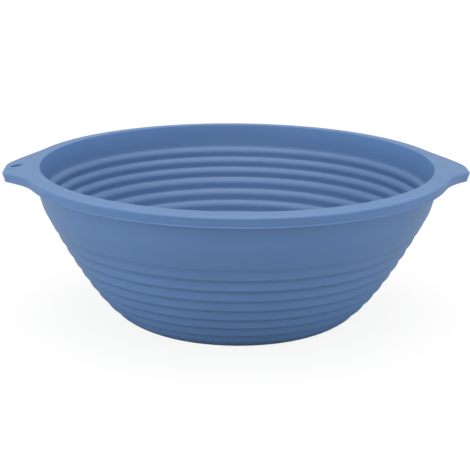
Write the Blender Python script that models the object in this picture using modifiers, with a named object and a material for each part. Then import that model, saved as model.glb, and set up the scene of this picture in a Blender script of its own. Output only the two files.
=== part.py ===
# A round silicone proofing basket, in metres with +Z up. The origin is the middle of its flat underside,
# and the X axis runs through its two ears, the one with the hanging hole at -X.
# The real basket is one soft moulding. Its zones are modelled as separate solids with a thin seam between
# them: the stiff rim with its ears, the smooth band, the soft ribs that fold when the basket is pressed
# flat for storage, and the base.
import math

import bmesh
import bpy
from mathutils import Matrix

# The whole basket
HEIGHT = 0.0845  # table to the mouth's edge
RIM_RADIUS = 0.115
FOOT_RADIUS = 0.058  # where the wall would meet the table
FLARE_POWER_SHARE = 0.66  # 1 is a straight cone, and less swells the lower wall outwards
WALL = 0.0042  # thickness square to the wall, from a ridge outside to a valley inside
SEAM = 0.0003  # gap between two zones
TURN_STEPS = 60

# The rim
RIM_WIDTH = 0.0086
RIM_DEPTH = 0.0067  # from the mouth's edge to the underside
RIM_DROP = 0.0011  # how much lower the top face is at its outer edge
RIM_MOUTH_ROUND = 0.0012
RIM_EDGE_ROUND = 0.0009
RIM_TAPER = 0.0011
RIM_OVERHANG = 0.0031  # how far the rim stands out over the band
LIP_PROUD = 0.0004
LIP_DEPTH = 0.0008

# The ears
EAR_REACH = 0.0113
EAR_SEAT = 0.006  # how far the ears reach into the rim
EAR_TIP_DEPTH = 0.0048
EAR_DROOP = 0.0010  # how far the top face bends down at the tip, below the slope of the rim
PIERCED_TIP_HALF_WIDTH = 0.0185
PLAIN_TIP_HALF_WIDTH = 0.0160
EAR_CORNER = 0.0065
EAR_CORNER_TURN = math.radians(38)
EAR_ROOT_TURN = math.radians(20.5)  # from the ear's middle to where its side meets the rim
HOLE_RADIUS = 0.0035
HOLE_INSET = 0.0073  # from the ear's tip to the middle of the hole
HOLE_SIDES = 24

# The band and the ribs
SMOOTH_DEPTH = 0.0140  # from the mouth down to the ridge line of the first valley inside
BAND_DEPTH = 0.0311  # from the mouth down to the first ridge outside, where the soft ribs start
BAND_RIBS = 3
HEEL = 0.0045  # height where the soft ribs end
RIBS = 8
BEAD = 0.0017  # how far a rib swells inwards
FLUTE = 0.0012  # how far its outer side is hollowed
FIRST_FLUTE_SHARE = 0.6  # the topmost flute is shallower
CREST_SHARE = 0.36  # where a rib is fullest, from its top
BAND_SQUARE_SHARE = 0.25  # how square to the wall a section of the band crosses it: 0 is level, 1 square
BEAD_SIDES = 4
FLUTE_SIDES = 3
BAND_SIDES = 3
ROUND_SIDES = 3
DROOP_SIDES = 4

# The base
FLOOR = 0.0036
FLOOR_INSET = 0.0095  # the floor's disc is this much smaller than the foot
HEEL_SIDES = 3
FOOT_EDGE = 0.0006  # height of the foot's small chamfer
FOOT_CHAMFER = 0.0012

# Working values
OVERRUN = 0.004  # how far a cutter stands clear of what it cuts
WALL_SAMPLES = 400
ARC_SIDES = 14
COLLAPSE = 0.036  # how far the rim comes down when the basket is pressed flat
SILICONE_BLUE = (0.095, 0.168, 0.335, 1.0)
SILICONE_ROUGHNESS = 0.55

rim_underside = HEIGHT - RIM_DEPTH
mouth_radius = RIM_RADIUS - RIM_WIDTH
band_top_radius = RIM_RADIUS - RIM_OVERHANG
seat_radius = RIM_RADIUS - EAR_SEAT
tip_radius = RIM_RADIUS + EAR_REACH
rim_slope = RIM_DROP / RIM_WIDTH
first_valley = HEIGHT - SMOOTH_DEPTH
first_ridge = HEIGHT - BAND_DEPTH


def wall_radius(height):
    """Outer radius of the wall, touching every ridge, from the table to the rim's underside."""
    share = max(height, 0) / rim_underside
    return FOOT_RADIUS + (band_top_radius - FOOT_RADIUS) * share**FLARE_POWER_SHARE


def wall_lean(height):
    """Angle of the wall from upright."""
    step = rim_underside / WALL_SAMPLES
    rise = wall_radius(height + step) - wall_radius(height)
    return math.atan2(rise, step)


def heights_along_wall(top, bottom, count):
    """Heights that divide the wall between top and bottom into count equal lengths, top first."""
    samples = [top + (bottom - top) * i / WALL_SAMPLES for i in range(WALL_SAMPLES + 1)]
    lengths = [0.0]
    for high, low in zip(samples, samples[1:]):
        lengths.append(lengths[-1] + math.hypot(high - low, wall_radius(high) - wall_radius(low)))
    found = []
    for i in range(count + 1):
        wanted = lengths[-1] * i / count
        after = next((k for k, length in enumerate(lengths) if length > wanted), WALL_SAMPLES)
        span = lengths[after] - lengths[after - 1]
        part = (wanted - lengths[after - 1]) / span
        found.append(samples[after - 1] + (samples[after] - samples[after - 1]) * part)
    return found


def wall_across(height):
    """From the outside to the inside at a height, as (radius, height) steps. It comes to stand square to the
    wall from the first ridge down to the heel."""
    down_share = min(max((first_ridge - height) / (first_ridge - HEEL), 0), 1)
    square_share = BAND_SQUARE_SHARE + (1 - BAND_SQUARE_SHARE) * down_share
    lean = wall_lean(height)
    turn = lean * square_share
    length = WALL / math.cos(lean - turn)
    return -length * math.cos(turn), length * math.sin(turn)


def outer_point(height, hollow=0.0):
    across = wall_across(height)
    share = hollow / math.hypot(*across)
    return wall_radius(height) + across[0] * share, height + across[1] * share


def inner_point(height, swell=0.0):
    across = wall_across(height)
    share = 1 + swell / math.hypot(*across)
    return wall_radius(height) + across[0] * share, height + across[1] * share


def bow(share):
    """An arch along a rib, from 0 at its top to 0 at its bottom, that is 1 at the crest."""
    along = share ** (math.log(0.5) / math.log(CREST_SHARE))
    return 4 * along * (1 - along)


def rib_profile(top, bottom, flute):
    """Section of one rib: its outside from the top down, then its inside from the bottom up."""
    high = top - SEAM / 2
    low = bottom + SEAM / 2
    points = []
    for i in range(FLUTE_SIDES + 1):
        share = i / FLUTE_SIDES
        points.append(outer_point(high + (low - high) * share, flute * bow(share)))
    for i in range(BEAD_SIDES + 1):
        share = 1 - i / BEAD_SIDES
        points.append(inner_point(high + (low - high) * share, BEAD * bow(share)))
    return points


def band_profile():
    """Section of the band: smooth outside, with the first ribs on the lower half of its inside."""
    high = rim_underside - SEAM
    low = first_ridge + SEAM / 2
    points = []
    for i in range(BAND_SIDES + 1):
        points.append(outer_point(high + (low - high) * i / BAND_SIDES))
    valleys = heights_along_wall(first_valley, low, BAND_RIBS)
    points.append(inner_point(low))
    for lower, upper in zip(reversed(valleys), reversed(valleys[:-1])):
        for i in range(1, BEAD_SIDES + 1):
            share = i / BEAD_SIDES
            points.append(inner_point(lower + (upper - lower) * share, BEAD * bow(1 - share)))
    points.append((mouth_inside(high), high))
    return points


def mouth_inside(height):
    """Radius of the smooth inside between the mouth and the first rib."""
    valley_radius, valley_height = inner_point(first_valley)
    share = (height - valley_height) / (HEIGHT - valley_height)
    return valley_radius + (mouth_radius - valley_radius) * share


def rounded_corner(corner, before, after, radius):
    """Points of a round corner: the ends lie radius from the corner towards its two neighbours."""
    points = []
    ends = []
    for other in (before, after):
        span = math.dist(corner, other)
        ends.append([corner[i] + (other[i] - corner[i]) * radius / span for i in (0, 1)])
    for k in range(ROUND_SIDES + 1):
        share = k / ROUND_SIDES
        weights = ((1 - share) ** 2, 2 * share * (1 - share), share**2)
        points.append(
            tuple(weights[0] * ends[0][i] + weights[1] * corner[i] + weights[2] * ends[1][i] for i in (0, 1))
        )
    return points


def rim_profile():
    """Section of the rim: sloping top face, tapered side and the small lip at the side's lower edge."""
    mouth = (mouth_radius, HEIGHT)
    edge = (RIM_RADIUS, HEIGHT - RIM_DROP)
    side = (RIM_RADIUS - RIM_TAPER, rim_underside + LIP_DEPTH)
    lip_radius = side[0] + LIP_PROUD
    inside = (mouth_inside(rim_underside), rim_underside)
    return [
        *rounded_corner(mouth, inside, edge, RIM_MOUTH_ROUND),
        *rounded_corner(edge, mouth, side, RIM_EDGE_ROUND),
        side,
        (lip_radius, rim_underside + LIP_DEPTH / 2),
        (lip_radius, rim_underside),
        inside,
    ]


def heel_profile():
    """Section of the curved heel between the last rib and the flat floor."""
    top = HEEL - SEAM / 2
    foot = wall_radius(FOOT_EDGE)
    floor_edge = FOOT_RADIUS - FLOOR_INSET
    inner_top = inner_point(top)
    floor_meet = (floor_edge + WALL, FLOOR)
    points = [outer_point(top + (FOOT_EDGE - top) * i / HEEL_SIDES) for i in range(HEEL_SIDES)]
    points.append((foot, FOOT_EDGE))
    points.append((foot - FOOT_CHAMFER, 0))
    points.append((floor_edge, 0))
    points.append((floor_edge, FLOOR))
    points.extend(rounded_corner(floor_meet, (floor_edge, FLOOR), inner_top, WALL / 2))
    points.append(inner_top)
    return points


def floor_profile():
    radius = FOOT_RADIUS - FLOOR_INSET - SEAM
    return [(0, FLOOR), (radius, FLOOR), (radius, 0), (0, 0)]


def silicone(name):
    material = bpy.data.materials.new(name + " silicone")
    material.use_nodes = True
    shader = material.node_tree.nodes["Principled BSDF"]
    shader.inputs["Base Color"].default_value = SILICONE_BLUE
    shader.inputs["Roughness"].default_value = SILICONE_ROUGHNESS
    shader.inputs["Metallic"].default_value = 0
    return material


def add_object(name, mesh, collection):
    piece = bpy.data.objects.new(name, mesh)
    collection.objects.link(piece)
    return piece


def evaluated_mesh(piece):
    bpy.context.view_layer.update()
    graph = bpy.context.evaluated_depsgraph_get()
    return bpy.data.meshes.new_from_object(piece.evaluated_get(graph))


def turned(name, profile, collection, closed=True, base_height=0.0):
    """A turned solid from (radius, height) points, with its origin on the axis at base_height."""
    outline = bpy.data.meshes.new(name)
    count = len(profile)
    edges = [(i, (i + 1) % count) for i in range(count if closed else count - 1)]
    outline.from_pydata([(radius, 0, height - base_height) for radius, height in profile], edges, [])
    piece = add_object(name, outline, collection)
    screw = piece.modifiers.new("turn", "SCREW")
    screw.steps = TURN_STEPS
    screw.render_steps = TURN_STEPS
    screw.use_merge_vertices = True
    screw.merge_threshold = 0.00001
    piece.data = evaluated_mesh(piece)
    piece.modifiers.clear()
    piece.location.z = base_height
    shade_round(piece.data)
    return piece


def shade_round(mesh):
    mesh.shade_smooth()
    mesh.set_sharp_from_angle(angle=math.radians(35))


def prism(name, outline, low, high, collection):
    """A solid between two heights with a flat outline of (x, y) points."""
    curve = bpy.data.curves.new(name, "CURVE")
    curve.dimensions = "2D"
    curve.fill_mode = "BOTH"
    curve.extrude = (high - low) / 2
    spline = curve.splines.new("POLY")
    spline.points.add(len(outline) - 1)
    for point, (x, y) in zip(spline.points, outline):
        point.co = (x, y, 0, 1)
    spline.use_cyclic_u = True
    drawn = add_object(name, curve, collection)
    drawn.location.z = (high + low) / 2
    mesh = evaluated_mesh(drawn)
    mesh.transform(drawn.matrix_world)
    welded = bmesh.new()
    welded.from_mesh(mesh)
    bmesh.ops.remove_doubles(welded, verts=welded.verts, dist=SEAM / 10)
    bmesh.ops.recalc_face_normals(welded, faces=welded.faces)
    welded.to_mesh(mesh)
    welded.free()
    bpy.data.objects.remove(drawn)
    return add_object(name, mesh, collection)


def helper(piece):
    piece.hide_render = True
    piece.display_type = "WIRE"
    return piece


def boolean(piece, operation, cutter):
    modifier = piece.modifiers.new(operation.lower(), "BOOLEAN")
    modifier.operation = operation
    modifier.object = cutter


def arc(radius, start, end, middle=(0, 0), sides=ARC_SIDES):
    return [
        (
            middle[0] + radius * math.cos(start + (end - start) * i / sides),
            middle[1] + radius * math.sin(start + (end - start) * i / sides),
        )
        for i in range(sides + 1)
    ]


def ear_flank(tip_half_width):
    """One side of an ear from its tip to the rim, seen from above: tip, round corner and hollow side."""
    middle = (tip_radius - EAR_CORNER, tip_half_width - EAR_CORNER)
    corner = arc(EAR_CORNER, 0, EAR_CORNER_TURN, middle, ARC_SIDES // 2)
    root = (RIM_RADIUS * math.cos(EAR_ROOT_TURN), RIM_RADIUS * math.sin(EAR_ROOT_TURN))
    start = corner[-1]
    # The side leaves the corner and meets the rim along their tangents, which cross at the bend.
    leave = (-math.sin(EAR_CORNER_TURN), math.cos(EAR_CORNER_TURN))
    arrive = (math.sin(EAR_ROOT_TURN), -math.cos(EAR_ROOT_TURN))
    cross = leave[0] * arrive[1] - leave[1] * arrive[0]
    gap = (root[0] - start[0], root[1] - start[1])
    along = (gap[0] * arrive[1] - gap[1] * arrive[0]) / cross
    bend = (start[0] + leave[0] * along, start[1] + leave[1] * along)
    side = []
    for k in range(1, ARC_SIDES + 1):
        share = k / ARC_SIDES
        weights = ((1 - share) ** 2, 2 * share * (1 - share), share**2)
        side.append(tuple(weights[0] * start[i] + weights[1] * bend[i] + weights[2] * root[i] for i in (0, 1)))
    return corner + side


def ear_outline(tip_half_width):
    """The whole ear seen from above, with its inner edge on the seat in the rim."""
    flank = ear_flank(tip_half_width)
    half_width = flank[-1][1]
    seat = seat_radius + SEAM
    turn = math.asin(half_width / seat)
    mirrored = [(x, -y) for x, y in reversed(flank)]
    return mirrored + flank + arc(seat, turn, -turn)


def seat_outline():
    """What the ear's seat takes out of the rim, seen from above."""
    half_width = RIM_RADIUS * math.sin(EAR_ROOT_TURN) + SEAM
    turn = math.asin(half_width / seat_radius)
    outside = tip_radius + OVERRUN
    return [(outside, -half_width), (outside, half_width)] + arc(seat_radius, turn, -turn)


def ear_top(radius):
    """Height of an ear's top face."""
    past_rim_share = max(radius - RIM_RADIUS, 0) / EAR_REACH
    return HEIGHT - rim_slope * (radius - mouth_radius) - EAR_DROOP * past_rim_share**2


def ear_blank_profile():
    """Section of the turned plate that an ear is cut from: it carries on the slope of the rim's top face and
    bends down a little, and its underside is level with the rim's before it slopes down too."""
    inner = seat_radius - OVERRUN
    outer = tip_radius + OVERRUN
    under_slope = (rim_underside - ear_top(tip_radius) + EAR_TIP_DEPTH) / EAR_REACH
    bend = [RIM_RADIUS + (outer - RIM_RADIUS) * i / DROOP_SIDES for i in range(DROOP_SIDES + 1)]
    return [
        (inner, ear_top(inner)),
        *[(radius, ear_top(radius)) for radius in bend],
        (outer, rim_underside - under_slope * (outer - RIM_RADIUS)),
        (RIM_RADIUS, rim_underside),
        (inner, rim_underside),
    ]


def make_ear(name, angle, tip_half_width, parts, cutters):
    ear = turned(name, ear_blank_profile(), parts)
    flat = ear_outline(tip_half_width)
    outline = helper(prism(name + " outline", flat, HEIGHT / 2, HEIGHT + OVERRUN, cutters))
    outline.rotation_euler.z = angle
    boolean(ear, "INTERSECT", outline)
    return ear


def make_rim(parts, cutters):
    rim = turned("rim_flange", rim_profile(), parts)
    for number, angle in enumerate((0, math.pi), 1):
        seat = helper(prism(f"ear seat {number}", seat_outline(), HEIGHT / 2, HEIGHT + OVERRUN, cutters))
        seat.rotation_euler.z = angle
        boolean(rim, "DIFFERENCE", seat)
    return rim


def pierce(ear, angle, cutters):
    """Cuts the round hanging hole."""
    bpy.ops.mesh.primitive_cylinder_add(
        vertices=HOLE_SIDES,
        radius=HOLE_RADIUS,
        depth=HEIGHT,
        location=(math.cos(angle) * (tip_radius - HOLE_INSET), math.sin(angle) * (tip_radius - HOLE_INSET), HEIGHT),
    )
    drill = bpy.context.object
    drill.name = "hanging hole"
    for collection in drill.users_collection:
        collection.objects.unlink(drill)
    cutters.objects.link(helper(drill))
    boolean(ear, "DIFFERENCE", drill)


def bake_booleans(piece):
    piece.data = evaluated_mesh(piece)
    piece.modifiers.clear()
    shade_round(piece.data)


def empty(name, height, parent, collection):
    handle = bpy.data.objects.new(name, None)
    handle.empty_display_size = FOOT_RADIUS
    handle.location.z = height
    handle.parent = parent
    collection.objects.link(handle)
    return handle


def attach(piece, handle):
    """Parents a piece to an empty on the basket's axis without moving the piece."""
    bpy.context.view_layer.update()
    piece.parent = handle
    piece.matrix_parent_inverse = Matrix.Translation(-handle.matrix_world.translation)


def make_basket():
    for old in list(bpy.data.objects):
        bpy.data.objects.remove(old)
    parts = bpy.data.collections.new("silicone proofing basket")
    cutters = bpy.data.collections.new("cutters")
    for collection in (parts, cutters):
        bpy.context.scene.collection.children.link(collection)

    basket = empty("basket", 0, None, parts)
    rim_slide = empty("rim slide", first_ridge, basket, parts)

    rim = make_rim(parts, cutters)
    right_ear = make_ear("right_ear", 0, PLAIN_TIP_HALF_WIDTH, parts, cutters)
    left_ear = make_ear("left_ear", math.pi, PIERCED_TIP_HALF_WIDTH, parts, cutters)
    pierce(left_ear, math.pi, cutters)
    for piece in (rim, right_ear, left_ear):
        bake_booleans(piece)
    band = turned("wall_band", band_profile(), parts, base_height=first_ridge)
    for piece in (rim, right_ear, left_ear, band):
        attach(piece, rim_slide)
        piece.data.materials.append(silicone(piece.name))

    ridges = heights_along_wall(first_ridge, HEEL, RIBS)
    rib_silicone = silicone("ribs")
    for number, (top, bottom) in enumerate(zip(ridges, ridges[1:]), 1):
        flute = FLUTE * FIRST_FLUTE_SHARE if number == 1 else FLUTE
        rib = turned(f"rib_ring_{number}", rib_profile(top, bottom, flute), parts, base_height=bottom)
        rib.data.materials.append(rib_silicone)
        attach(rib, basket)

    heel = turned("base_heel", heel_profile(), parts)
    floor = turned("base_floor", floor_profile(), parts, closed=False)
    for piece in (heel, floor):
        piece.data.materials.append(silicone(piece.name))
        attach(piece, basket)
    return parts, ridges


def report(parts, ridges):
    bpy.context.view_layer.update()
    graph = bpy.context.evaluated_depsgraph_get()
    nodes = [piece for piece in parts.objects if piece.type == "MESH"]
    triangles = 0
    for piece in nodes:
        mesh = piece.evaluated_get(graph).to_mesh()
        mesh.calc_loop_triangles()
        triangles += len(mesh.loop_triangles)
    print(f"{len(nodes)} nodes, {triangles} triangles")
    print("ridge heights in mm:", ", ".join(f"{height * 1000:.2f}" for height in ridges))
    fold = first_ridge - HEEL
    shares = [((top + bottom) / 2 - HEEL) / fold for top, bottom in zip(ridges, ridges[1:])]
    print("share of the rim's travel for each rib:", ", ".join(f"{share:.4f}" for share in shares))
    print(f"rim travel {COLLAPSE * 1000:.1f} mm of a ribbed wall {fold * 1000:.1f} mm high")


made, ridge_heights = make_basket()
report(made, ridge_heights)
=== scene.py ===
# The looks of a round silicone proofing basket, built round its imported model.
# Everything is in metres with +Z up. The ear with the hanging hole is at -X, and -Y is towards the viewer.
import math

import bmesh
import bpy
import numpy as np
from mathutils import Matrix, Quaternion, Vector


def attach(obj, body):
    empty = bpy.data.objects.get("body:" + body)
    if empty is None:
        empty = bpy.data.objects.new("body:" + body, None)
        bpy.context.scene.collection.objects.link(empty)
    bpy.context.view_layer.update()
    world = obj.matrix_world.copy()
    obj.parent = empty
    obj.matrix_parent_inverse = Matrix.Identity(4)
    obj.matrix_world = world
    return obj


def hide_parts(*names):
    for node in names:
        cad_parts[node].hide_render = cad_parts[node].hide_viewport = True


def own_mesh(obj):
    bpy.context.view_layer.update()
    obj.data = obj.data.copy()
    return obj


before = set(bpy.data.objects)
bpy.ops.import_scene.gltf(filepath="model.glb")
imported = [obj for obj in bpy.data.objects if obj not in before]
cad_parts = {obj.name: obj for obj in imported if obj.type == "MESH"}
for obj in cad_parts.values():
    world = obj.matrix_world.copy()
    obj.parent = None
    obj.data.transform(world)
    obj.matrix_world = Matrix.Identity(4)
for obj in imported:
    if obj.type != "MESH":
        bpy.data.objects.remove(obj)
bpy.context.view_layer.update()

# Sizes that the folding wall, the rim with its band and the base share
basket = {
    "height": 0.0845,
    "rimRadius": 0.115,
    "footRadius": 0.058,
    "flarePower": 0.66,  # below 1 the wall is steeper towards the mouth
    "wall": 0.0042,
    "rimDepth": 0.0067,
    "rimOverhang": 0.0031,
    "bandDepth": 0.0311,  # from the mouth down to where the folding wall starts
    "heel": 0.0045,  # where the folding wall ends
    "bead": 0.0012,  # how far an inner rib swells out of the wall
    "beadTurn": 0.58,  # the share of a rib, from its top, over which its inside turns from ledge to wall
    "fluteTurn": 0.52,  # the same for the hollow outside
    "ridgeRounding": 0.15,  # from 0, sharp ridges, towards 1, soft ones
    "bandSquareShare": 0.25,  # the way across the wall at the band: 0 is level, 1 is square to the wall
    "crowding": 0.55,  # how much closer the rows of points lie near a ridge
}
rimUnderside = basket["height"] - basket["rimDepth"]
bandRadius = basket["rimRadius"] - basket["rimOverhang"]
firstRidge = basket["height"] - basket["bandDepth"]


def wallRadius(height):
    # outer radius of the flared wall
    share = np.clip(height, 0, None) / rimUnderside
    return basket["footRadius"] + (bandRadius - basket["footRadius"]) * share ** basket["flarePower"]


def wallAcross(height):
    # the way through the wall from the outside, as a step along the radius and a step up, and its length
    shortStep = rimUnderside / 400  # over which the slope is measured
    lean = np.arctan2(wallRadius(height + shortStep) - wallRadius(height), shortStep)
    down = np.clip((firstRidge - height) / (firstRidge - basket["heel"]), 0, 1)
    turn = lean * (basket["bandSquareShare"] + (1 - basket["bandSquareShare"]) * down)
    return -np.cos(turn), np.sin(turn), basket["wall"] / np.cos(lean - turn)


def innerPoint(height, swell=0.0):
    # the point of the inside that lies across the wall from this height outside
    inwards, upwards, length = wallAcross(height)
    depth = length + swell
    return float(wallRadius(height) + inwards * depth), float(height + upwards * depth)


def evenHeights(top, bottom, count):
    # heights that divide the wall into equal lengths along its curve
    samples = np.linspace(top, bottom, 801)  # close enough to measure the curve
    lengths = np.concatenate([[0], np.cumsum(np.hypot(np.diff(samples), np.diff(wallRadius(samples))))])
    return np.interp(np.linspace(0, lengths[-1], count + 1), lengths, samples)


def ribArch(share, turn):
    # from 0 at a rib's top, round to 1 at its crest and straight back to 0, softened at both ends
    soft = basket["ridgeRounding"]
    crest = turn - turn * turn / 2
    if share < turn:
        arch = 1 - (1 - share / crest) ** 2
    else:
        arch = (1 - share) * 2 / crest * turn / (2 - turn)
    return (math.sqrt(arch * arch + soft * soft) - soft) / (math.sqrt(1 + soft * soft) - soft)


def curvePoint(start, bend, end, share):
    # a point on the curve that leaves start towards bend and reaches end from it
    weights = ((1 - share) ** 2, 2 * share * (1 - share), share**2)
    return tuple(weights[0] * start[i] + weights[1] * bend[i] + weights[2] * end[i] for i in (0, 1))


def roundCorner(corner, before, after, radius, sides):
    # points that take the place of a corner between two others
    ends = []
    for other in (before, after):
        span = math.dist(corner, other)
        ends.append([corner[i] + (other[i] - corner[i]) * radius / span for i in (0, 1)])
    return [curvePoint(ends[0], corner, ends[1], k / sides) for k in range(sides + 1)]


def between(start, end, count):
    # count points in a line between two others, without them
    shares = [k / (count + 1) for k in range(1, count + 1)]
    return [tuple(start[i] + (end[i] - start[i]) * share for i in (0, 1)) for share in shares]


# The finish of the whole basket: one matte silicone
siliconeLook = {
    "colour": (0.084, 0.170, 0.346),
    "mottleScale": 22.0,
    "mottleDetail": 3.0,
    "mottle": 0.035,  # how far the pigment strays either way, as a share of the colour
    # painted highlight: the sharpest outward edges are lightened towards this paler colour
    "edgeHighlightColour": (0.26, 0.37, 0.56),
    "edgeHighlightShare": 0.03,  # how much of that colour the sharpest edges take on, a painted highlight
    "edgeBends": (300, 1400),  # one over the edge's radius, where the painted highlight starts and where it is full
    "grainScale": 1600.0,
    "grainDetail": 2.0,
    "grainDepth": 0.00003,
    "grainStrength": 0.5,
    "roughness": (0.50, 0.60),  # where the mottle is low and where it is high
    "roughnessMottle": (0.35, 0.65),  # how low and how high that is
    "gloss": 0.25,
    "coat": 0.45,
    "coatRoughness": 0.42,
    "glow": 0.35,  # share of the light that spreads inside the silicone before it leaves
    "glowReach": 0.0018,
    "glowColour": (0.8, 0.9, 1.0),  # how far red, green and blue get, as shares of that reach
}


def siliconeMaterial(name):
    material = bpy.data.materials.new(name)
    material.use_nodes = True
    nodes, links = material.node_tree.nodes, material.node_tree.links
    shader = nodes["Principled BSDF"]
    shader.inputs["Specular IOR Level"].default_value = siliconeLook["gloss"]
    shader.inputs["Coat Weight"].default_value = siliconeLook["coat"]
    shader.inputs["Coat Roughness"].default_value = siliconeLook["coatRoughness"]
    shader.inputs["Subsurface Weight"].default_value = siliconeLook["glow"]
    shader.inputs["Subsurface Radius"].default_value = siliconeLook["glowColour"]
    shader.inputs["Subsurface Scale"].default_value = siliconeLook["glowReach"]
    place = nodes.new("ShaderNodeTexCoord")

    # Slow cloudy variation of the pigment
    mottle = nodes.new("ShaderNodeTexNoise")
    mottle.inputs["Scale"].default_value = siliconeLook["mottleScale"]
    mottle.inputs["Detail"].default_value = siliconeLook["mottleDetail"]
    links.new(place.outputs["Object"], mottle.inputs["Vector"])
    pigment = nodes.new("ShaderNodeMix")
    pigment.data_type = "RGBA"
    for socket, shade in (("A", 1 - siliconeLook["mottle"]), ("B", 1 + siliconeLook["mottle"])):
        pigment.inputs[socket].default_value = (*[c * shade for c in siliconeLook["colour"]], 1)
    links.new(mottle.outputs["Fac"], pigment.inputs["Factor"])

    # The sharpest outward edges are painted a little paler, as a painted highlight
    bend = nodes.new("ShaderNodeAttribute")
    bend.attribute_name = "bend"
    highlightMask = nodes.new("ShaderNodeMapRange")
    highlightMask.inputs["From Min"].default_value = siliconeLook["edgeBends"][0]
    highlightMask.inputs["From Max"].default_value = siliconeLook["edgeBends"][1]
    highlightMask.inputs["To Max"].default_value = siliconeLook["edgeHighlightShare"]
    links.new(bend.outputs["Fac"], highlightMask.inputs["Value"])
    highlighted = nodes.new("ShaderNodeMix")
    highlighted.data_type = "RGBA"
    highlighted.inputs["B"].default_value = (*siliconeLook["edgeHighlightColour"], 1)
    links.new(highlightMask.outputs["Result"], highlighted.inputs["Factor"])
    links.new(pigment.outputs["Result"], highlighted.inputs["A"])
    links.new(highlighted.outputs["Result"], shader.inputs["Base Color"])

    # Fine grain left by the mould
    grain = nodes.new("ShaderNodeTexNoise")
    grain.inputs["Scale"].default_value = siliconeLook["grainScale"]
    grain.inputs["Detail"].default_value = siliconeLook["grainDetail"]
    links.new(place.outputs["Object"], grain.inputs["Vector"])
    bump = nodes.new("ShaderNodeBump")
    bump.inputs["Strength"].default_value = siliconeLook["grainStrength"]
    bump.inputs["Distance"].default_value = siliconeLook["grainDepth"]
    links.new(grain.outputs["Fac"], bump.inputs["Height"])
    links.new(bump.outputs["Normal"], shader.inputs["Normal"])

    # The mottle makes the surface duller in places too
    dull = nodes.new("ShaderNodeMapRange")
    dull.inputs["From Min"].default_value = siliconeLook["roughnessMottle"][0]
    dull.inputs["From Max"].default_value = siliconeLook["roughnessMottle"][1]
    dull.inputs["To Min"].default_value = siliconeLook["roughness"][0]
    dull.inputs["To Max"].default_value = siliconeLook["roughness"][1]
    links.new(mottle.outputs["Fac"], dull.inputs["Value"])
    links.new(dull.outputs["Result"], shader.inputs["Roughness"])
    return material


print("mixing the silicone")
silicone = siliconeMaterial("dusty blue silicone")

# How every piece is closed and shaded
finishing = {
    "mergeDistance": 0.000002,
    "sharpTurn": math.radians(38),
}


def markEdges(mesh):
    # keeps at each point how sharply the surface bends outwards there, for the painted edge highlight
    places = np.empty(len(mesh.vertices) * 3)
    facings = np.empty(len(mesh.vertices) * 3)
    ends = np.empty(len(mesh.edges) * 2, dtype=np.int32)
    mesh.vertices.foreach_get("co", places)
    mesh.vertices.foreach_get("normal", facings)
    mesh.edges.foreach_get("vertices", ends)
    places, facings, ends = places.reshape(-1, 3), facings.reshape(-1, 3), ends.reshape(-1, 2)
    step = places[ends[:, 1]] - places[ends[:, 0]]
    squared = np.maximum((step * step).sum(axis=1), 1e-10)
    bends = np.zeros(len(places))
    for end, sign in ((0, -1), (1, 1)):
        # twice this end's height above the other, over their distance squared, is one over the radius
        rise = sign * 2 * (step * facings[ends[:, end]]).sum(axis=1) / squared
        np.maximum.at(bends, ends[:, end], rise)
    mesh.attributes.new("bend", "FLOAT", "POINT").data.foreach_set("value", bends.astype(np.float32))


def finishPiece(name, mesh, body, nodes):
    # every piece is closed and shaded, rides on its body and stands for its CAD nodes here
    shape = bmesh.new()
    shape.from_mesh(mesh)
    bmesh.ops.remove_doubles(shape, verts=shape.verts, dist=finishing["mergeDistance"])
    bmesh.ops.recalc_face_normals(shape, faces=shape.faces)
    shape.to_mesh(mesh)
    shape.free()
    mesh.shade_smooth()
    mesh.set_sharp_from_angle(angle=finishing["sharpTurn"])
    markEdges(mesh)
    if not mesh.materials:
        mesh.materials.append(silicone)
    piece = bpy.data.objects.new(name, mesh)
    bpy.context.scene.collection.objects.link(piece)
    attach(piece, body)
    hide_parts(*nodes)
    return piece


# The folding wall: ribs that are round inside and hollow outside, made along the flared wall by nodes
foldingWall = {
    "Top Height": firstRidge,
    "Bottom Height": basket["heel"],
    "Rim Underside": rimUnderside,
    "Foot Radius": basket["footRadius"],
    "Band Radius": bandRadius,
    "Flare Power": basket["flarePower"],
    "Wall": basket["wall"],
    "Square Share": basket["bandSquareShare"],
    "Ribs": 8,
    "Points per Rib": 18,
    "Points Around": 240,
    "Outline Points": 600,
    "Bead": basket["bead"],
    "Flute": 0.0011,  # how deep the hollows outside are
    "First Flute Share": 0.38,  # the first hollow's depth, as a share of that
    "Bead Turn": basket["beadTurn"],
    "Flute Turn": basket["fluteTurn"],
    "Ridge Rounding": basket["ridgeRounding"],
    "Crowding": basket["crowding"],
    "Merge Distance": 0.000005,
}


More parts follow.
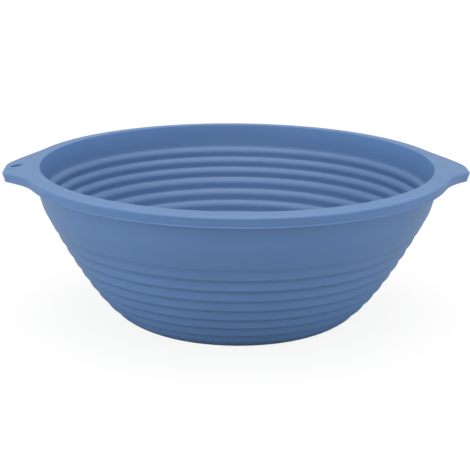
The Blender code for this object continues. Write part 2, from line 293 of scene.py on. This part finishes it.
def foldingWallNodes():
    tree = bpy.data.node_groups.new("folding wall", "GeometryNodeTree")
    tree.is_modifier = True
    for name, value in foldingWall.items():
        kind = "NodeSocketInt" if isinstance(value, int) else "NodeSocketFloat"
        tree.interface.new_socket(name, in_out="INPUT", socket_type=kind)
    tree.interface.new_socket("Silicone", in_out="INPUT", socket_type="NodeSocketMaterial")
    tree.interface.new_socket("Geometry", in_out="OUTPUT", socket_type="NodeSocketGeometry")
    size = tree.nodes.new("NodeGroupInput").outputs

    def node(kind, **inputs):
        made = tree.nodes.new(kind)
        for name, value in inputs.items():
            plug(made.inputs[name.replace("_", " ")], value)
        return made

    def plug(socket, value):
        if isinstance(value, bpy.types.NodeSocket):
            tree.links.new(value, socket)
        else:
            socket.default_value = value

    def calc(operation, *values, clamp=False):
        made = tree.nodes.new("ShaderNodeMath")
        made.operation = operation
        made.use_clamp = clamp
        for socket, value in zip(made.inputs, values):
            plug(socket, value)
        return made.outputs[0]

    def split(vector):
        return node("ShaderNodeSeparateXYZ", Vector=vector).outputs

    def point(x, y, z):
        return node("ShaderNodeCombineXYZ", X=x, Y=y, Z=z).outputs[0]

    # The outer line of the wall as a curve, from the top down
    line = node("GeometryNodeCurvePrimitiveLine", End=(0, 0, 1)).outputs["Curve"]
    fine = node("GeometryNodeResampleCurve", Curve=line, Count=size["Outline Points"]).outputs["Curve"]
    along = split(node("GeometryNodeInputPosition").outputs[0])["Z"]
    drop = calc("SUBTRACT", size["Bottom Height"], size["Top Height"])
    height = calc("MULTIPLY_ADD", along, drop, size["Top Height"])
    risen = calc("POWER", calc("DIVIDE", height, size["Rim Underside"]), size["Flare Power"])
    flare = calc("SUBTRACT", size["Band Radius"], size["Foot Radius"])
    radius = calc("MULTIPLY_ADD", flare, risen, size["Foot Radius"])
    outline = node("GeometryNodeSetPosition", Geometry=fine, Position=point(radius, 0.0, height))

    # A grid whose columns go round the basket. Its rows go down the outside and up the inside,
    # and the last row is the first again, which closes the wall into a ring
    rows = calc("MULTIPLY", size["Ribs"], size["Points per Rib"])
    gridRows = calc("MULTIPLY_ADD", rows, 2.0, 3.0)
    gridColumns = calc("ADD", size["Points Around"], 1.0)
    grid = node("GeometryNodeMeshGrid", Size_X=1.0, Size_Y=1.0, Vertices_X=gridColumns, Vertices_Y=gridRows)
    cell = split(node("GeometryNodeInputPosition").outputs[0])
    angle = calc("MULTIPLY", calc("ADD", cell["X"], 0.5), math.tau)
    row = calc("ROUND", calc("MULTIPLY", calc("ADD", cell["Y"], 0.5), calc("SUBTRACT", gridRows, 1.0)))
    lastInside = calc("MULTIPLY_ADD", rows, 2.0, 1.0)
    pastOutside = calc("GREATER_THAN", row, calc("ADD", rows, 0.5))
    inside = calc("MULTIPLY", pastOutside, calc("LESS_THAN", row, calc("ADD", lastInside, 0.5)))
    goingUp = calc("MAXIMUM", calc("SUBTRACT", lastInside, row), 0.0)
    count = calc("ADD", row, calc("MULTIPLY", pastOutside, calc("SUBTRACT", goingUp, row)))

    # Where each row lies within its rib, with the rows closer together near the ridges
    inRibs = calc("DIVIDE", count, size["Points per Rib"])
    rib = calc("FLOOR", inRibs)
    evenPart = calc("FRACT", inRibs)
    wave = calc("DIVIDE", calc("SINE", calc("MULTIPLY", evenPart, math.tau)), math.tau)
    part = calc("SUBTRACT", evenPart, calc("MULTIPLY", wave, size["Crowding"]))
    share = calc("DIVIDE", calc("ADD", rib, part), size["Ribs"])

    # The arch of a rib, as ribArch draws it for the band: round to its crest, then straight back
    moreTurn = calc("SUBTRACT", size["Bead Turn"], size["Flute Turn"])
    turning = calc("MULTIPLY_ADD", inside, moreTurn, size["Flute Turn"])
    crest = calc("SUBTRACT", turning, calc("MULTIPLY", calc("MULTIPLY", turning, turning), 0.5))
    toCrest = calc("SUBTRACT", 1.0, calc("DIVIDE", part, crest))
    rounded = calc("SUBTRACT", 1.0, calc("MULTIPLY", toCrest, toCrest))
    fall = calc("MULTIPLY", crest, calc("SUBTRACT", 2.0, turning))
    steep = calc("DIVIDE", calc("MULTIPLY", turning, 2.0), fall)
    straight = calc("MULTIPLY", calc("SUBTRACT", 1.0, part), steep)
    isStraight = calc("GREATER_THAN", part, turning)
    bow = calc("ADD", rounded, calc("MULTIPLY", isStraight, calc("SUBTRACT", straight, rounded)))
    soft = size["Ridge Rounding"]
    softSquare = calc("MULTIPLY", soft, soft)
    raised = calc("SUBTRACT", calc("SQRT", calc("ADD", calc("MULTIPLY", bow, bow), softSquare)), soft)
    arch = calc("DIVIDE", raised, calc("SUBTRACT", calc("SQRT", calc("ADD", softSquare, 1.0)), soft))

    # The outer line's place there, and the way across the wall
    sample = tree.nodes.new("GeometryNodeSampleCurve")
    sample.mode = "FACTOR"
    plug(sample.inputs["Curves"], outline.outputs["Geometry"])
    plug(sample.inputs["Factor"], share)
    place = split(sample.outputs["Position"])
    heading = split(sample.outputs["Tangent"])
    lean = calc("ARCTAN2", calc("MULTIPLY", heading["X"], -1.0), calc("MULTIPLY", heading["Z"], -1.0))
    down = calc("DIVIDE", calc("SUBTRACT", place["Z"], size["Top Height"]), drop, clamp=True)
    rest = calc("SUBTRACT", 1.0, size["Square Share"])
    turn = calc("MULTIPLY", lean, calc("MULTIPLY_ADD", rest, down, size["Square Share"]))
    length = calc("DIVIDE", size["Wall"], calc("COSINE", calc("SUBTRACT", lean, turn)))

    # The flutes are cut in from the outside, and the beads stand beyond the wall's thickness
    isFirst = calc("LESS_THAN", share, calc("DIVIDE", 1.0, size["Ribs"]))
    lighter = calc("MULTIPLY", isFirst, calc("SUBTRACT", size["First Flute Share"], 1.0))
    flute = calc("MULTIPLY", calc("MULTIPLY", size["Flute"], arch), calc("ADD", lighter, 1.0))
    bead = calc("MULTIPLY_ADD", size["Bead"], arch, length)
    depth = calc("ADD", flute, calc("MULTIPLY", inside, calc("SUBTRACT", bead, flute)))
    ringRadius = calc("SUBTRACT", place["X"], calc("MULTIPLY", depth, calc("COSINE", turn)))
    ringHeight = calc("MULTIPLY_ADD", depth, calc("SINE", turn), place["Z"])
    x = calc("MULTIPLY", ringRadius, calc("COSINE", angle))
    y = calc("MULTIPLY", ringRadius, calc("SINE", angle))
    turned = node("GeometryNodeSetPosition", Geometry=grid.outputs["Mesh"], Position=point(x, y, ringHeight))
    closed = node(
        "GeometryNodeMergeByDistance", Geometry=turned.outputs["Geometry"], Distance=size["Merge Distance"]
    )
    real = node("GeometryNodeRealizeInstances", Geometry=closed.outputs["Geometry"])
    painted = node("GeometryNodeSetMaterial", Geometry=real.outputs["Geometry"], Material=size["Silicone"])
    output = tree.nodes.new("NodeGroupOutput")
    tree.links.new(painted.outputs["Geometry"], output.inputs["Geometry"])
    return tree


def makeFoldingWall():
    tree = foldingWallNodes()
    blank = bpy.data.objects.new("folding wall maker", bpy.data.meshes.new("folding wall maker"))
    bpy.context.scene.collection.objects.link(blank)
    maker = blank.modifiers.new("folding wall", "NODES")
    maker.node_group = tree
    for item in tree.interface.items_tree:
        if item.in_out == "INPUT":
            maker[item.identifier] = foldingWall.get(item.name, silicone)
    bpy.context.view_layer.update()
    ready = blank.evaluated_get(bpy.context.evaluated_depsgraph_get())
    mesh = bpy.data.meshes.new_from_object(ready)
    bpy.data.objects.remove(blank)
    rings = [f"rib_ring_{n}" for n in range(1, foldingWall["Ribs"] + 1)]
    piece = finishPiece("foldingWall", mesh, "base", rings)
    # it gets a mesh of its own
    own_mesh(piece)


print("making the folding wall")
makeFoldingWall()

# The rim with its ears and the smooth band under it, as one moulding
rim = {
    "width": 0.0086,
    "drop": 0.0011,  # how far the top face falls from the mouth to the rim's edge
    "mouthRound": 0.0008,
    "edgeRound": 0.0010,
    "taper": 0.0013,  # how much further in the side's lower edge is than its upper one
    "lipProud": 0.0004,
    "lipDepth": 0.0010,
    "lipShape": ((0.8, 0.66), (1.0, 0.45), (0.9, 0.16)),  # shares of lipProud and lipDepth, from the top down
    "lipFoot": 0.5,  # share of lipProud that is left at the underside
    "lipStep": 0.0001,  # how far out the lip starts, and how far in it turns at the underside
    "fillet": 0.0008,
    "filletReach": 0.004,  # the height of band that sets the fillet's direction
    "smoothDepth": 0.0140,  # from the mouth down to the top inner rib
    "tuck": 0.0014,  # how far inside the flare the band ends, under the rim
    "tuckHeights": (0.062, 0.072),  # where it starts to draw in and where it is that far in
    "innerRibs": 3,
    "pointsPerRib": 16,
    "landing": 0.0025,  # how far in from the rim's edge the rows that follow the ears start
    "faceRows": 12,  # such rows, on the top face and on the underside
    "bandRows": 13,  # rows down the band's outside
    "degreesRound": 1.5,  # between columns of points
    "degreesAtEar": 0.3,
}
ear = {
    "reach": 0.0113,
    "tipDepth": 0.0048,
    "droop": 0.0010,  # how far the top face bends down at the tip
    "piercedHalfWidth": 0.0185,
    "plainHalfWidth": 0.0160,
    "corner": 0.0110,
    "cornerTurn": math.radians(38),
    "rootTurn": math.radians(20.5),
    "rootMargin": math.radians(1.5),  # the close columns go this far beyond the root
    "rootBlend": 0.12,  # share of the reach over which the rim's edge and lip turn into the ear's
    "softerEdge": 0.0002,  # how much rounder an ear's edge is than the rim's
    "tipPoints": 19,  # of one half of the ear's edge, seen from above: the tip, the corner and the side
    "cornerPoints": 24,
    "sidePoints": 59,
    "holeRadius": 0.0035,
    "holeInset": 0.0073,  # from the tip to the hole's middle
    "holeRound": 0.0005,
    "holeRoundSteps": 5,
    "holeSurround": 0.0056,  # half the width of the patch that is made round the hole
    "holeRings": (0.3, 0.6, 0.85),  # rings of points across that patch, as shares of the way in
    "holeLining": (0.25, 0.5, 0.75),  # and down through the hole, as shares of the ear's thickness
}
mouthRadius = basket["rimRadius"] - rim["width"]
rimSlope = rim["drop"] / rim["width"]
firstValley = basket["height"] - rim["smoothDepth"]
tipRadius = basket["rimRadius"] + ear["reach"]


def topHeight(radius):
    # the sloping top face that the rim and the ears share
    past = np.clip((radius - basket["rimRadius"]) / ear["reach"], 0, None)
    return basket["height"] - rimSlope * (radius - mouthRadius) - ear["droop"] * past**2


def undersideHeight(radius):
    # level under the rim, then sloping down to the ears' tips
    past = np.clip((radius - basket["rimRadius"]) / ear["reach"], 0, None)
    tipBottom = topHeight(tipRadius) - ear["tipDepth"]
    return rimUnderside + (tipBottom - rimUnderside) * past


def earFlank(halfWidth):
    # one side of an ear seen from above: half the tip, the round corner and the hollow side
    middle = (tipRadius - ear["corner"], halfWidth - ear["corner"])
    tip = [(tipRadius, y) for y in np.linspace(0, middle[1], ear["tipPoints"] + 1)[:-1]]
    corner = []
    for turn in np.linspace(0, ear["cornerTurn"], ear["cornerPoints"]):
        x = middle[0] + ear["corner"] * math.cos(turn)
        y = middle[1] + ear["corner"] * math.sin(turn)
        corner.append((x, y))
    start = corner[-1]
    root = (basket["rimRadius"] * math.cos(ear["rootTurn"]), basket["rimRadius"] * math.sin(ear["rootTurn"]))

    # the side leaves the corner and reaches the rim along their own directions, which cross at its bend
    leave = (-math.sin(ear["cornerTurn"]), math.cos(ear["cornerTurn"]))
    arrive = (math.sin(ear["rootTurn"]), -math.cos(ear["rootTurn"]))
    cross = leave[0] * arrive[1] - leave[1] * arrive[0]
    along = ((root[0] - start[0]) * arrive[1] - (root[1] - start[1]) * arrive[0]) / cross
    bend = (start[0] + leave[0] * along, start[1] + leave[1] * along)
    side = [curvePoint(start, bend, root, share) for share in np.linspace(0, 1, ear["sidePoints"] + 1)[1:]]
    line = np.array(tip + corner + side)
    return np.arctan2(line[:, 1], line[:, 0]), np.hypot(line[:, 0], line[:, 1])


piercedFlank = earFlank(ear["piercedHalfWidth"])
plainFlank = earFlank(ear["plainHalfWidth"])


def turnFromEar(angle):
    # how far an angle is from the middle of the nearer ear
    return abs((angle + math.pi / 2) % math.pi - math.pi / 2)


def edgeRadius(angle):
    flank = plainFlank if math.cos(angle) > 0 else piercedFlank
    return float(np.interp(turnFromEar(angle), *flank, right=basket["rimRadius"]))


def columnAngles():
    # angles round the basket, close together over the ears
    reach = ear["rootTurn"] + ear["rootMargin"]
    fine = round(2 * reach / math.radians(rim["degreesAtEar"]) / 2) * 2
    coarse = round((math.pi - 2 * reach) / math.radians(rim["degreesRound"]))
    angles = []
    for middle in (0, math.pi):
        angles.extend(middle - reach + 2 * reach * i / fine for i in range(fine))
        angles.extend(middle + reach + (math.pi - 2 * reach) * i / coarse for i in range(coarse))
    return angles


def innerRibs():
    # the inside of the band with its ribs, from the bottom up
    line = []
    valleys = evenHeights(firstValley, firstRidge, rim["innerRibs"])[::-1]
    for lower, upper in zip(valleys, valleys[1:]):
        for i in range(rim["pointsPerRib"]):
            share = i / rim["pointsPerRib"]
            share -= basket["crowding"] * math.sin(share * math.tau) / math.tau
            swell = basket["bead"] * ribArch(1 - share, basket["beadTurn"])
            line.append(innerPoint(lower + (upper - lower) * share, swell))
    line.append(innerPoint(firstValley))
    return line


def bandOutside(height):
    # the flare, drawn in a little under the rim
    start, full = rim["tuckHeights"]
    share = min(max((height - start) / (full - start), 0), 1)
    return float(wallRadius(height)) - rim["tuck"] * share * share * (3 - 2 * share)


def lipLine(side, isEar):
    # the small lip at the side's lower edge, from the top down, which fades out at the ears
    radius, bottom = side
    proud = rim["lipProud"] * (1 - isEar)
    line = [(radius + (rim["lipStep"] if isEar < 1 else 0.0), bottom + rim["lipDepth"])]
    for out, up in rim["lipShape"]:
        line.append((radius + proud * out, bottom + rim["lipDepth"] * up))
    line.append((radius + proud * rim["lipFoot"] - rim["lipStep"], bottom))
    return line


def rimSection(angle, inside):
    # the rim and the band cut at an angle, from the bottom of the inside up, over and down the outside
    edge = edgeRadius(angle)
    isEar = min(max((edge - basket["rimRadius"]) / (ear["reach"] * ear["rootBlend"]), 0), 1)
    top = (edge, float(topHeight(edge)))
    side = (edge - rim["taper"], float(undersideHeight(edge)))
    landing = (basket["rimRadius"] - rim["landing"], float(topHeight(basket["rimRadius"] - rim["landing"])))
    mouthCorner = roundCorner((mouthRadius, basket["height"]), inside[-1], top, rim["mouthRound"], sides=6)
    edgeCorner = roundCorner(top, landing, side, rim["edgeRound"] + isEar * ear["softerEdge"], sides=5)
    section = list(inside)
    section.extend(between(inside[-1], mouthCorner[0], count=7))
    section.extend(mouthCorner)
    section.extend(between(mouthCorner[-1], landing, count=3))

    # the top face, the side and its lip
    faceStart = len(section)
    section.append(landing)
    section.extend(between(landing, edgeCorner[0], count=rim["faceRows"] - 1))
    section.extend(edgeCorner)
    lip = lipLine(side, isEar)
    section.extend(between(edgeCorner[-1], lip[0], count=4))
    section.extend(lip)

    # the underside, then a small fillet into the band
    underStart = len(section)
    lipFoot = lip[-1][0]
    bandNext = (bandOutside(rimUnderside - rim["filletReach"]), rimUnderside - rim["filletReach"])
    bandTop = (bandOutside(rimUnderside), rimUnderside)
    fillet = roundCorner(bandTop, (lipFoot, rimUnderside), bandNext, rim["fillet"], sides=4)
    for k in range(rim["faceRows"]):
        radius = lipFoot + (fillet[0][0] - lipFoot) * (k + 1) / (rim["faceRows"] + 1)
        section.append((radius, float(undersideHeight(radius))))
    section.extend(fillet)
    for height in np.linspace(fillet[-1][1], firstRidge, rim["bandRows"] + 1)[1:]:
        section.append((bandOutside(height), float(height)))
    return section, faceStart, underStart


def addHole(points, faces, rows, columns, topRows, underRows):
    # fills the open cells with rings that narrow to the hanging hole and line it
    centre = -(tipRadius - ear["holeInset"])
    first, last = columns[0], columns[-1] + 1

    def border(start, end):
        # the points round the open cells that lie between these two rows
        step = 1 if end > start else -1
        loop = [first * rows + r for r in range(start, end, step)]
        loop += [c * rows + end for c in range(first, last)]
        loop += [last * rows + r for r in range(end, start, -step)]
        loop += [c * rows + start for c in range(last, first, -1)]
        return loop

    upper = border(topRows[0], topRows[-1] + 1)
    lower = border(underRows[-1] + 1, underRows[0])
    turns = [math.atan2(points[index][1], points[index][0] - centre) for index in upper]

    def addRing(radius, deep, lift=0.0, outer=None, share=1.0):
        # a ring round the hole, deep from 0 at the top face to 1 at the underside, or part of the way to it
        start = len(points)
        for i, turn in enumerate(turns):
            x = centre + radius * math.cos(turn)
            y = radius * math.sin(turn)
            if outer:
                fromX, fromY, _ = points[outer[i]]
                x = fromX + (x - fromX) * share
                y = fromY + (y - fromY) * share
            out = math.hypot(x, y)
            points.append((x, y, topHeight(out) * (1 - deep) + undersideHeight(out) * deep + lift))
        return list(range(start, start + len(turns)))

    hole, soft = ear["holeRadius"], ear["holeRound"]
    rounding = []
    for k in range(ear["holeRoundSteps"] + 1):
        turn = math.pi / 2 * k / ear["holeRoundSteps"]
        rounding.append((hole + soft * (1 - math.sin(turn)), soft * (1 - math.cos(turn))))
    loops = [upper]
    loops += [addRing(hole + soft, 0, outer=upper, share=share) for share in ear["holeRings"]]
    loops += [addRing(radius, 0, lift=-sunk) for radius, sunk in rounding]
    loops += [addRing(hole, deep, lift=soft * (2 * deep - 1)) for deep in ear["holeLining"]]
    loops += [addRing(radius, 1, lift=sunk) for radius, sunk in reversed(rounding)]
    loops += [addRing(hole + soft, 1, outer=lower, share=share) for share in reversed(ear["holeRings"])]
    loops.append(lower)
    for wide, narrow in zip(loops, loops[1:]):
        for i in range(len(turns)):
            j = (i + 1) % len(turns)
            faces.append((wide[i], wide[j], narrow[j], narrow[i]))


def makeRimAndBand():
    angles = columnAngles()
    inside = innerRibs()
    sections = [rimSection(angle, inside) for angle in angles]
    faceStart, underStart = sections[0][1:]
    rows = len(sections[0][0])
    points = []
    for angle, (section, *_) in zip(angles, sections):
        points.extend((r * math.cos(angle), r * math.sin(angle), z) for r, z in section)

    # cells left open for the hanging hole: the same columns above and below
    middle = min(range(len(angles)), key=lambda i: abs(angles[i] - math.pi))
    halfCells = round(ear["holeSurround"] / (tipRadius * math.radians(rim["degreesAtEar"])))
    columns = range(middle - halfCells, middle + halfCells)
    topRows = range(faceStart + 1, faceStart + rim["faceRows"] - 1)
    underRows = range(underStart + 1, underStart + rim["faceRows"] - 1)
    openCells = {(c, r) for c in columns for r in (*topRows, *underRows)}
    faces = []
    for column in range(len(angles)):
        here, following = column * rows, (column + 1) % len(angles) * rows
        for row in range(rows):
            if (column, row) not in openCells:
                below = (row + 1) % rows
                faces.append((here + row, following + row, following + below, here + below))
    addHole(points, faces, rows, columns, topRows, underRows)
    mesh = bpy.data.meshes.new("rimAndBand")
    mesh.from_pydata(points, [], faces)
    finishPiece("rimAndBand", mesh, "rim", ["rim_flange", "left_ear", "right_ear", "wall_band"])


print("making the rim, the ears and the band")
makeRimAndBand()

# The heel and the flat floor, as one moulding
base = {
    "floor": 0.0036,
    "floorInset": 0.0095,  # from the foot's radius to the flat floor's
    "floorCurve": 0.6,  # how far before the corner the curve into the wall starts, in wall thicknesses
    "footEdge": 0.0006,
    "footChamfer": 0.0012,
    "floorRings": 8,
    "heelRings": 8,
    "underRings": 6,
    "pointsAround": 240,
}


def baseSection():
    # half of the base cut through its middle, from the floor's middle out, down the heel and back below
    floor, heel = base["floor"], basket["heel"]
    floorEdge = basket["footRadius"] - base["floorInset"]
    innerTop = innerPoint(heel)
    foot = (float(wallRadius(base["footEdge"])), base["footEdge"])
    under = (foot[0] - base["footChamfer"], 0.0)
    corner = (floorEdge + basket["wall"], floor)
    curve = basket["wall"] * base["floorCurve"]
    section = [(floorEdge * k / base["floorRings"], floor) for k in range(base["floorRings"])]
    section.extend(roundCorner(corner, (floorEdge, floor), innerTop, curve, sides=8))
    section.append(innerTop)
    for height in np.linspace(heel, base["footEdge"] * 2, base["heelRings"]):
        section.append((float(wallRadius(height)), float(height)))
    section.extend(roundCorner(foot, section[-1], under, base["footEdge"], sides=5)[1:])
    section.extend(roundCorner(under, foot, (0.0, 0.0), base["footEdge"], sides=4))
    section.extend((floorEdge * (1 - k / base["underRings"]), 0.0) for k in range(base["underRings"]))
    section.append((0.0, 0.0))
    return section


def makeBase():
    section = baseSection()
    count = base["pointsAround"]
    points = [(0, 0, section[0][1])]
    for radius, height in section[1:-1]:
        for i in range(count):
            angle = math.tau * i / count
            points.append((radius * math.cos(angle), radius * math.sin(angle), height))
    points.append((0, 0, section[-1][1]))
    last = len(points) - 1 - count
    faces = []
    for i in range(count):
        j = (i + 1) % count
        faces.append((0, 1 + i, 1 + j))
        for here in range(1, last, count):
            after = here + count
            faces.append((here + i, after + i, after + j, here + j))
        faces.append((len(points) - 1, last + j, last + i))
    mesh = bpy.data.meshes.new("baseAndHeel")
    mesh.from_pydata(points, [], faces)
    finishPiece("baseAndHeel", mesh, "base", ["base_heel", "base_floor"])


print("making the base")
makeBase()

# The stage: a pale floor, soft lamps and the photograph's point of view
stage = {
    "floorSize": 12.0,
    "floorSeen": 0.90,  # how pale the floor looks to the camera
    "floorBounce": 0.42,  # how pale it is for the light that it throws back
    "floorGlow": 0.88,  # share of plain white that the camera sees on the floor
    "floorRoughness": 0.9,
    "floorGloss": 0.1,
    "skyAtSides": 0.30,
    "skyOverhead": 1.10,
    "skyColour": (1.0, 0.985, 0.945),
}
lamps = {
    # name: (azimuth, elevation, strength, angle, colour), the azimuth from -Y towards +X
    "overhead": (0, 86, 1.66, 60, (1.0, 0.97, 0.915)),
    "low left": (-78, 1, 2.05, 8, (0.88, 0.96, 1.0)),
    "low right": (78, 1, 1.75, 8, (0.78, 0.93, 1.0)),
    "front left": (-45, 8, 0.42, 60, (0.93, 0.98, 1.0)),
    "front": (0, 14, 1.20, 60, (0.97, 0.985, 1.0)),
}


def makeFloor():
    half = stage["floorSize"] / 2
    corners = [(-half, -half, 0), (half, -half, 0), (half, half, 0), (-half, half, 0)]
    mesh = bpy.data.meshes.new("floor")
    mesh.from_pydata(corners, [], [(0, 1, 2, 3)])
    material = bpy.data.materials.new("pale floor")
    material.use_nodes = True
    nodes, links = material.node_tree.nodes, material.node_tree.links
    shader = nodes["Principled BSDF"]
    shader.inputs["Roughness"].default_value = stage["floorRoughness"]
    shader.inputs["Specular IOR Level"].default_value = stage["floorGloss"]
    seen = nodes.new("ShaderNodeLightPath")
    tone = nodes.new("ShaderNodeMapRange")
    tone.inputs["To Min"].default_value = stage["floorBounce"]
    tone.inputs["To Max"].default_value = stage["floorSeen"]
    links.new(seen.outputs["Is Camera Ray"], tone.inputs["Value"])
    links.new(tone.outputs["Result"], shader.inputs["Base Color"])
    glow = nodes.new("ShaderNodeEmission")
    share = nodes.new("ShaderNodeMath")
    share.operation = "MULTIPLY"
    share.inputs[1].default_value = stage["floorGlow"]
    links.new(seen.outputs["Is Camera Ray"], share.inputs[0])
    mix = nodes.new("ShaderNodeMixShader")
    links.new(share.outputs[0], mix.inputs["Fac"])
    links.new(shader.outputs[0], mix.inputs[1])
    links.new(glow.outputs[0], mix.inputs[2])
    links.new(mix.outputs[0], nodes["Material Output"].inputs["Surface"])
    mesh.materials.append(material)
    floor = bpy.data.objects.new("floor", mesh)
    bpy.context.scene.collection.objects.link(floor)


def makeSky():
    # a studio that is brighter overhead than round the sides, and plain white behind the basket
    world = bpy.data.worlds.new("studio")
    bpy.context.scene.world = world
    world.use_nodes = True
    nodes, links = world.node_tree.nodes, world.node_tree.links
    back = nodes["Background"]
    place = nodes.new("ShaderNodeTexCoord")
    apart = nodes.new("ShaderNodeSeparateXYZ")
    links.new(place.outputs["Generated"], apart.inputs["Vector"])
    level = nodes.new("ShaderNodeMapRange")
    level.inputs["To Min"].default_value = stage["skyAtSides"]
    level.inputs["To Max"].default_value = stage["skyOverhead"]
    links.new(apart.outputs["Z"], level.inputs["Value"])
    seen = nodes.new("ShaderNodeLightPath")
    strength = nodes.new("ShaderNodeMix")
    strength.inputs["B"].default_value = 1
    links.new(seen.outputs["Is Camera Ray"], strength.inputs["Factor"])
    links.new(level.outputs["Result"], strength.inputs["A"])
    links.new(strength.outputs["Result"], back.inputs["Strength"])
    tint = nodes.new("ShaderNodeMix")
    tint.data_type = "RGBA"
    tint.inputs["A"].default_value = (*stage["skyColour"], 1)
    tint.inputs["B"].default_value = (1, 1, 1, 1)
    links.new(seen.outputs["Is Camera Ray"], tint.inputs["Factor"])
    links.new(tint.outputs["Result"], back.inputs["Color"])


def makeLamps():
    for name, (azimuth, elevation, strength, angle, colour) in lamps.items():
        lamp = bpy.data.lights.new(name, "SUN")
        lamp.energy = strength
        lamp.color = colour
        lamp.angle = math.radians(angle)
        holder = bpy.data.objects.new(name, lamp)
        across, up = math.radians(azimuth), math.radians(elevation)
        source = Vector((math.sin(across) * math.cos(up), -math.cos(across) * math.cos(up), math.sin(up)))
        holder.rotation_mode = "QUATERNION"
        holder.rotation_quaternion = source.to_track_quat("Z", "Y")
        holder.visible_glossy = name == "overhead"  # the other lamps leave no shine on the matte side
        bpy.context.scene.collection.objects.link(holder)


viewpoint = {
    "distance": 0.805,  # from the middle of the mouth
    "elevation": math.radians(12.62),
    "turn": math.radians(2.0),  # towards the ear with the hole
    "roll": math.radians(0.52),
    "lens": 113.5,
    "clipStart": 0.05,
    "aim": (-0.00084, 0.0, 0.0435),
}


def makeCamera():
    camera = bpy.data.objects.new("camera", bpy.data.cameras.new("camera"))
    bpy.context.scene.collection.objects.link(camera)
    camera.data.lens = viewpoint["lens"]
    camera.data.clip_start = viewpoint["clipStart"]
    turn, up = viewpoint["turn"], viewpoint["elevation"]
    back = Vector((-math.sin(turn) * math.cos(up), -math.cos(turn) * math.cos(up), math.sin(up)))
    camera.location = Vector((0, 0, basket["height"])) + back * viewpoint["distance"]
    look = Vector(viewpoint["aim"]) - camera.location
    camera.rotation_mode = "QUATERNION"
    camera.rotation_quaternion = look.to_track_quat("-Z", "Y") @ Quaternion((0, 0, 1), viewpoint["roll"])
    bpy.context.scene.camera = camera


print("setting the stage")
makeFloor()
makeSky()
makeLamps()
makeCamera()
bpy.context.scene.view_settings.view_transform = "Standard"
